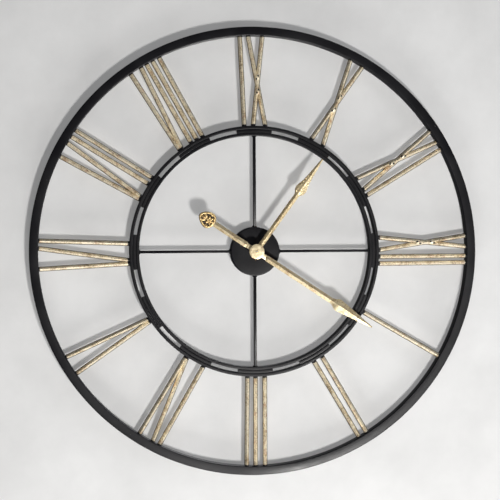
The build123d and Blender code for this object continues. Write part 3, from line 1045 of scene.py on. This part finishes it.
    def _meeting(self, first: Bar, second: Bar) -> Vector:
        """Point where the middle lines of two bars cross, lying face up in millimetres."""
        gap_outer = second.outer - first.outer
        gap_inner = second.inner - first.inner
        share = -gap_inner / (gap_outer - gap_inner)
        x = second.inner + (second.outer - second.inner) * share
        return Vector((x, self.inner_mark + (self.outer_mark - self.inner_mark) * share))

    def _crossing(self, first: Bar, second: Bar) -> tuple[list[Piece], list[Piece]]:
        """Lumps of braze on both sides of a crossing, and the burnt pits in them."""
        centre = self._meeting(first, second)
        rise = (first.outer - first.inner + second.outer - second.inner) / 2
        along = Vector((rise, self.outer_mark - self.inner_mark)).normalized()
        turn = math.degrees(math.atan2(along.x, along.y))
        braze, pits = [], []
        for side in (-1.0, 1.0):
            where = centre + along * side * self.braze_reach
            place = (*where, self.back + self.braze_lift)
            braze.append(blob("braze", self.braze_size, place, 3, turn))
            for reach, offset in self.pit_spots:
                spot = where + along * reach + Vector((along.y, -along.x)) * offset
                pits.append(blob("pit", self.pit_size, (*spot, self.back + self.pit_lift), 2, turn))
        return braze, pits


# ---------------------------------------------------------------- hands
@dataclass(frozen=True)
class Pairs:
    """Rows of mirrored lumps along a hand: size, place and turn of the first, steps to the next."""

    name: str
    rows: int
    size: Point3
    place: Point3
    turn: float
    size_step: Point3 = (0.0, 0.0, 0.0)
    place_step: Point3 = (0.0, 0.0, 0.0)

    def build(self, base: float, origin: float = 0.0) -> list[Piece]:
        """Make every row.

        Args:
            base: Height that the places count from.
            origin: Distance along the hand that they count from.

        Returns:
            The lumps.
        """
        made = []
        for row in range(self.rows):
            size = tuple(first + step * row for first, step in zip(self.size, self.size_step))
            x, y, z = (first + step * row for first, step in zip(self.place, self.place_step))
            made += [blob(self.name, size, (side * x, origin + y, base + z), 3, side * self.turn)
                     for side in (-1.0, 1.0)]
        return made


@dataclass
class Hands:
    """Hour hand, minute hand with its cast tail ornament, boss cap and nut."""

    minute_gilt: Look
    hour_gilt: Look
    cast_gilt: Look
    nut_metal: Look
    hour_clock: float = 306.2
    minute_clock: float = 33.5
    sheet: float = 0.9
    tang: float = 0.8
    tang_width: float = 8.2
    eye_r: float = 8.9
    ornament_near: float = 89.0
    ornament_length: float = 32.0
    ornament_width: float = 29.6
    ornament_rise: float = 3.0
    ornament_steps: int = 56
    ornament_insets: tuple[Point, ...] = ((1.0, 1.9), (2.4, 0.2), (0.8, -2.2))
    petals: int = 6
    petal_r: float = 4.9
    petal_size: Point3 = (2.1, 3.3, 2.6)
    buds: Pairs = Pairs("bud", 5, (1.9, 3.0, 1.3), (5.0, 150.0, 1.2), 24.0,
                        (-0.2, -0.25, -0.1), (-0.62, 6.4, 0.0))
    veins: Pairs = Pairs("vein", 4, (3.4, 0.8, 0.5), (5.6, 129.0, 2.3), -38.0,
                         place_step=(-0.7, 4.6, 0.0))
    scrolls: tuple[Pairs, ...] = (
        Pairs("scroll", 1, (2.0, 3.4, 1.9), (10.4, 4.7, -0.3), 14.0),
        Pairs("scroll", 1, (1.8, 3.2, 1.7), (8.4, 12.0, -0.3), -42.0),
        Pairs("leaf", 1, (2.4, 5.2, 2.8), (4.0, -4.6, 0.0), -30.0))
    hour_stations: tuple[Station, ...] = (
        Station(11.0, 8.4, 2.4), Station(13.5, 9.6, 3.2), Station(123.0, 9.6, 3.3),
        Station(126.0, 12.5, 3.5), Station(130.0, 18.5, 3.9), Station(136.0, 21.2, 4.0),
        Station(144.0, 18.0, 4.0), Station(153.0, 12.6, 3.8), Station(166.0, 9.6, 3.4),
        Station(184.0, 6.6, 2.8), Station(202.0, 3.2, 1.8))
    shoulder: tuple[Station, ...] = (
        Station(20.2, 6.4, 1.8), Station(21.4, 9.2, 3.4), Station(23.0, 10.4, 4.3))
    lance: tuple[Station, ...] = (
        Station(160.0, 10.4, 4.3), Station(166.0, 14.0, 4.6), Station(171.0, 21.4, 5.6),
        Station(175.0, 22.0, 5.8), Station(246.6, 2.0, 1.4))
    tail: tuple[Station, ...] = (Station(90.5, 10.4, 4.3),)

    def build(self) -> None:
        """Make both hands and what sits on them."""
        self._hour()
        self._minute()
        self._ornament()
        self._cap()
        dress(refined("cap_nut", 0.12), self.nut_metal, "minute_hand", ("cap_nut",))

    def _eye(self, name: str, node: str, hole: float, ends: Point) -> Piece:
        """Flat strip with a round eye, under the folded shaft.

        Args:
            name: The new object's name.
            node: Packed hand that gives the height.
            hole: Radius of the hole.
            ends: Where the strip starts and ends along the hand.

        Returns:
            The eye and its strip as one piece.
        """
        low = heights(node)[0] + 0.05
        high = low + self.tang - 0.1
        corners = [(hole, low), (hole, high), (self.eye_r, high), (self.eye_r, low)]
        disc = lathe(name, rounded(corners, [0.1, 0.2, 0.25, 0.1], 2), 64)
        deselect_all()
        bpy.ops.mesh.primitive_cube_add(size=1.0 * MM, location=(0.0, 0.0, 0.0))
        strip = named(name + "_strip")
        strip.scale = (self.tang_width, ends[1] - ends[0], high - low)
        strip.location = Vector((0.0, (ends[0] + ends[1]) / 2, (low + high) / 2)) * MM
        apply_place(strip)
        modify(strip, "BEVEL", width=0.2 * MM, segments=2)
        return join([disc, strip], name)

    def _hour(self) -> None:
        """Hour hand: plain shaft, a leaf, then a beaded neck that tapers to the tip."""
        base = heights("hour_hand")[0] + self.tang
        blade = folded_strip("blade", self.hour_stations, self.sheet, 1.3, 12, 0.10)
        lift(blade, base)
        relief = [piece for row in (self.buds, self.veins) for piece in row.build(base)]
        blade = join([blade, *relief], "hour_blade")
        modify(blade, "REMESH", mode="VOXEL", voxel_size=0.42 * MM)
        roughen(blade, 2.6, 0.55)
        eye = self._eye("hour_eye", "hour_hand", 3.05, (7.0, 26.0))
        finish(join([blade, eye], "hour_hand_gilded"), self.hour_gilt, "hour_hand", ("hour_hand",),
               clock=self.hour_clock, sharp=50.0)

    def _minute(self) -> None:
        """Minute hand: crisp folded lance and tail on one strip."""
        base = heights("minute_hand")[0] + self.tang
        lance, tail = (folded_strip(name, self.shoulder + stations, self.sheet, 3.0, 10)
                       for name, stations in (("lance", self.lance), ("tail", self.tail)))
        tail.rotation_euler.z = math.pi
        apply_place(tail)
        strips = lift(join([lance, tail], "minute_strips"), base)
        roughen(strips, 9.0, 0.10)
        eye = self._eye("minute_eye", "minute_hand", 2.45, (-31.0, 31.0))
        finish(join([strips, eye], "minute_hand_gilded"), self.minute_gilt, "minute_hand",
               ("minute_hand",), clock=self.minute_clock)

    def _ornament(self) -> None:
        """Cast shield on the tail: raised rim, a rosette and a bud, with deep pits between."""
        back = heights("tail_ornament")[0]
        centre = -self.ornament_near - self.ornament_length / 2
        outline = []
        for index in range(self.ornament_steps):
            angle = math.tau * index / self.ornament_steps
            swell = (1.0 + 0.30 * math.cos(angle)) / 1.045
            x = self.ornament_width / 2 * math.sin(angle) * swell
            y = centre + (self.ornament_length / 2 - 0.3) * math.cos(angle)
            outline.append((x, y, back + 0.4))
        shield = trace("shield", outline)
        with editing(shield):
            bpy.ops.mesh.edge_face_add()
            rise = {"value": (0.0, 0.0, self.ornament_rise * MM)}
            bpy.ops.mesh.extrude_region_move(TRANSFORM_OT_translate=rise)
            select_all()
            bpy.ops.mesh.normals_make_consistent(inside=False)
            pick(shield, lambda place: place.z > (back + 2.0) * MM)
            for thickness, depth in self.ornament_insets:
                bpy.ops.mesh.inset(thickness=thickness * MM, depth=depth * MM)
        face_outwards(shield)
        floor = back + 3.4
        rose = centre + 5.2
        relief = [blob("heart", (2.2, 2.2, 2.9), (0.0, rose, floor + 0.2), 3),
                  blob("leaf", (2.4, 5.2, 2.8), (0.0, centre - 6.2, floor), 3)]
        for petal in range(self.petals):
            angle = math.tau * petal / self.petals
            where = (self.petal_r * math.sin(angle), rose + self.petal_r * math.cos(angle), floor)
            relief.append(blob("petal", self.petal_size, where, 3, math.degrees(angle)))
        relief += [piece for pair in self.scrolls for piece in pair.build(floor, centre)]
        cast = join([shield, *relief], "tail_ornament_cast")
        modify(cast, "REMESH", mode="VOXEL", voxel_size=0.38 * MM)
        finish(cast, self.cast_gilt, "minute_hand", ("tail_ornament",), dents=(2.0, 0.35),
               clock=self.minute_clock, sharp=60.0)

    def _cap(self) -> None:
        """Boss cap: a shallow turned dome with a rounded rim on a short neck."""
        back, front = heights("boss_cap")
        front -= 0.1
        rim = half_width("boss_cap") - 0.15
        corners = [(1.55, back), (1.55, front), (3.4, front), (rim * 0.8, front - 0.15),
                   (rim, front - 0.55), (rim, front - 2.0), (6.0, front - 2.1), (6.0, back)]
        profile = rounded(corners, [0, 0.3, 0.2, 1.6, 0.5, 0.4, 0.3, 0.2], 4)
        finish(lathe("boss_cap_turned", profile, 96), self.minute_gilt, "minute_hand",
               ("boss_cap",), dents=(6.0, 0.16), sharp=40.0)


# ---------------------------------------------------------------- movement and back
@dataclass
class Movement:
    """Quartz movement behind the hub, its fixings and the wall bumpers."""

    rounded_nodes: tuple[tuple[str, float], ...] = (
        ("movement_case_back", 0.35), ("movement_case_front", 0.35), ("setting_knob", 0.2),
        ("fixing_nut", 0.25), ("fixing_washer", 0.15), ("wall_bumpers", 0.8))
    cell_ends: Point = (-25.25, 23.95)
    cell_r: float = 7.25
    nub_r: float = 2.75
    nub: float = 1.3

    def build(self, looks: Mapping[str, Look]) -> None:
        """Dress every node that stays, and round the ones that show.

        Args:
            looks: Look of each of the record's slots.
        """
        slots = {entry["node"]: entry["material_slot"] for entry in frame["record"]["subparts"]}
        bodies = frame["record"]["behaviour"]["bodies"]
        body_of = {node: body for body, nodes in bodies.items() for node in nodes}
        for node, edge in self.rounded_nodes:
            dress(refined(node, edge), looks[slots[node]], body_of[node], (node,))
        self._cell(looks["battery_wrap"])
        for node, packed in frame["nodes"].items():
            for place in packed.material_slots:
                place.material = looks[slots[node]].material

    def _cell(self, sleeve: Look) -> None:
        """Battery with rolled shoulders, a crimp groove and a raised cap."""
        start, end = self.cell_ends
        r = self.cell_r - 0.05
        profile = [(0.0, start), (r - 1.6, start), (r - 1.2, start + 0.25), (r - 0.5, start + 0.3),
                   (r, start + 0.9), (r, end - 1.6), (r - 0.25, end - 1.3), (r, end - 1.0),
                   (r - 0.1, end - 0.4), (r - 0.7, end), (self.nub_r + 1.4, end - 0.1),
                   (self.nub_r + 0.4, end), (self.nub_r, end + 0.3),
                   (self.nub_r - 0.1, end + self.nub - 0.2), (self.nub_r - 0.5, end + self.nub),
                   (0.0, end + self.nub)]
        cell = lathe("battery_cell", profile, 64)
        low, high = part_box("battery")
        middle = [(a + b) / 2 for a, b in zip(low, high)]
        turn = Matrix.Rotation(math.radians(90.0), 4, "Y")
        cell.matrix_world = Matrix.Translation((0.0, middle[1], middle[2])) @ turn
        apply_place(cell)
        smooth(cell, 30.0)
        dress(cell, sleeve, "battery", ("battery",))


# ---------------------------------------------------------------- studio
@dataclass(frozen=True)
class Lamp:
    """Square area light: place and side in metres, power in watts."""

    name: str
    where: Point3
    size: float
    power: float
    colour: Colour

    def hang(self) -> None:
        """Add the light, turned to face the clock."""
        data = bpy.data.lights.new(self.name, "AREA")
        data.size = self.size
        data.energy = self.power
        data.color = self.colour
        light = bpy.data.objects.new(self.name, data)
        light.location = self.where
        light.rotation_euler = (-Vector(self.where)).to_track_quat("-Z", "Y").to_euler()
        bpy.context.collection.objects.link(light)


@dataclass
class Studio:
    """Camera, lights, floor and backdrop."""

    lamps: tuple[Lamp, ...] = (
        Lamp("key", (1.10, -2.5, 0.55), 0.30, 54.0, (1.0, 0.985, 0.96)),
        Lamp("fill", (-2.3, -1.7, 0.35), 0.9, 4.0, (0.94, 0.97, 1.0)),
        Lamp("top", (0.3, -0.6, 2.4), 1.0, 21.0, (0.97, 0.98, 1.0)),
        Lamp("side", (2.3, -0.72, -0.1), 0.9, 36.0, (1.0, 0.99, 0.97)),
        Lamp("rear_left", (1.7, 2.3, 0.9), 1.4, 55.0, (1.0, 0.99, 0.97)),
        Lamp("rear_right", (-1.7, 2.3, 1.1), 1.4, 55.0, (0.97, 0.98, 1.0)))

    distance: float = 2.947
    azimuth: float = -0.97
    elevation: float = -5.75
    roll: float = -0.4
    lens: float = 119.1
    shift: Point = (-0.0103, 0.0027)
    sensor: float = 36.0
    floor_z: float = -1.2
    floor_size: float = 14.0
    wall_size: float = 3.0
    wall_gap: float = 0.0005
    ambient: float = 0.09
    seen: float = 0.85

    def build(self) -> None:
        """Make the whole studio."""
        bpy.context.scene.view_settings.view_transform = "Standard"
        self._camera()
        self._backdrop()
        for lamp in self.lamps:
            lamp.hang()
        self._world()

    def _world(self) -> None:
        """Dim white surroundings that the camera itself sees bright."""
        world = bpy.data.worlds.new("soft_white")
        world.use_nodes = True
        tree = world.node_tree
        background = tree.nodes["Background"]
        background.inputs["Color"].default_value = (0.90, 0.91, 0.93, 1.0)
        brightness = tree.nodes.new("ShaderNodeMapRange")
        brightness.inputs["To Min"].default_value = self.ambient
        brightness.inputs["To Max"].default_value = self.seen
        seen = tree.nodes.new("ShaderNodeLightPath")
        tree.links.new(seen.outputs["Is Camera Ray"], brightness.inputs["Value"])
        tree.links.new(brightness.outputs["Result"], background.inputs["Strength"])
        bpy.context.scene.world = world

    def _camera(self) -> None:
        """Camera on its side, XII to the right, slightly below the clock and to its left."""
        azimuth, elevation = math.radians(self.azimuth), math.radians(self.elevation)
        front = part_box("outer_ring")[0][1]
        target = Vector((0.0, front, 0.0))
        level = math.cos(elevation)
        away = Vector((math.sin(azimuth) * level, -math.cos(azimuth) * level, math.sin(elevation)))
        right = (Vector((0, 0, 1)) - away * away.z).normalized()
        up = away.cross(right)
        turn = Matrix((right, up, away)).transposed()
        turn = turn @ Matrix.Rotation(math.radians(self.roll), 3, "Z")
        camera = bpy.data.objects.new("camera", bpy.data.cameras.new("camera"))
        camera.data.lens = self.lens
        camera.data.sensor_width = self.sensor
        camera.data.shift_x, camera.data.shift_y = self.shift
        camera.matrix_world = Matrix.Translation(target + away * self.distance) @ turn.to_4x4()
        bpy.context.collection.objects.link(camera)
        bpy.context.scene.camera = camera

    def _backdrop(self) -> None:
        """Pale floor, and a pale wall behind the clock that only its front view sees."""
        deselect_all()
        bpy.ops.mesh.primitive_plane_add(size=self.floor_size, location=(0.0, 0.0, self.floor_z))
        floor = named("floor")
        bpy.ops.mesh.primitive_plane_add(
            size=self.wall_size, location=(0.0, self.wall_gap, self.floor_z + self.wall_size / 2),
            rotation=(math.radians(90.0), 0.0, 0.0))
        wall = named("wall")
        floor.data.materials.append(Plaster("floor_plaster", (0.20, 0.20, 0.20), False, 2.7).make())
        wall.data.materials.append(Plaster().make())
        for stage in (floor, wall):
            stage.visible_diffuse = False
            stage.visible_glossy = False
            stage.visible_shadow = False


def looks() -> dict[str, Look]:
    """Look of each slot of the record."""
    materials = {
        "black_steel": BlackSteel().make(),
        # The numerals' gilt darkens below 18.7 to 19.7 mm off the wall: painted shade along the
        # bars' low edges.
        "gilt": Gilt(blackened_ends=True, low_shade_and_patina=(18.7, 19.7)).make(),
        "gilt_hands": Gilt("gilt_minute", pale=(0.92, 0.79, 0.53), gold=(0.82, 0.67, 0.41),
                           tan=(0.56, 0.42, 0.23), metallic=0.62, speck_level=0.84,
                           relief_mm=0.06).make(),
        "rubber": Moulded("rubber", (0.018, 0.018, 0.018), 0.72).make(),
        "case_plastic": Moulded("case_plastic", (0.016, 0.016, 0.017), 0.46).make(),
        "gear_plastic": Moulded("gear_plastic", (0.72, 0.70, 0.63), 0.30, 0.8, 0.02, 0.1).make(),
        "brass": Turned("brass", (0.70, 0.50, 0.20), 0.28).make(),
        "steel": Turned("steel", (0.56, 0.56, 0.57), 0.26).make(),
        "magnet": Turned("magnet", (0.14, 0.14, 0.15), 0.5).make(),
        "copper": CopperWinding().make(),
        "board": Moulded("board", (0.02, 0.16, 0.06), 0.30, 0.7, 0.02).make(),
        "chip": Moulded("chip", (0.012, 0.012, 0.012), 0.5).make(),
        "battery_wrap": CellSleeve().make(),
    }
    return {slot: Look(slot, material) for slot, material in materials.items()}


def main() -> None:
    """Build the clock's pieces in order, then the studio."""
    logging.basicConfig(level=logging.INFO, format="%(message)s")
    kit = looks()
    hour_gilt = Gilt("gilt_hour", pale=(0.92, 0.78, 0.50), gold=(0.74, 0.57, 0.31), metallic=0.55,
                     speck_level=0.66, speck_mm=1.5, relief_mm=0.25).make()
    # The ornament's gilt darkens below 51.7 to 52.3 mm off the wall: patina on the low floor
    # between its relief.
    cast_gilt = Gilt("gilt_cast", pale=(0.84, 0.63, 0.31), gold=(0.66, 0.46, 0.20), metallic=0.60,
                     speck_level=0.78, relief_mm=0.1, low_shade_and_patina=(51.7, 52.3)).make()
    Frame(kit["black_steel"]).build()
    Numerals(kit["gilt"], kit["black_steel"]).build()
    Hands(kit["gilt_hands"], Look("gilt_hands", hour_gilt), Look("gilt_hands", cast_gilt),
          kit["brass"]).build()
    Movement().build(kit)
    Studio().build()


if __name__ == "__main__":
    main()
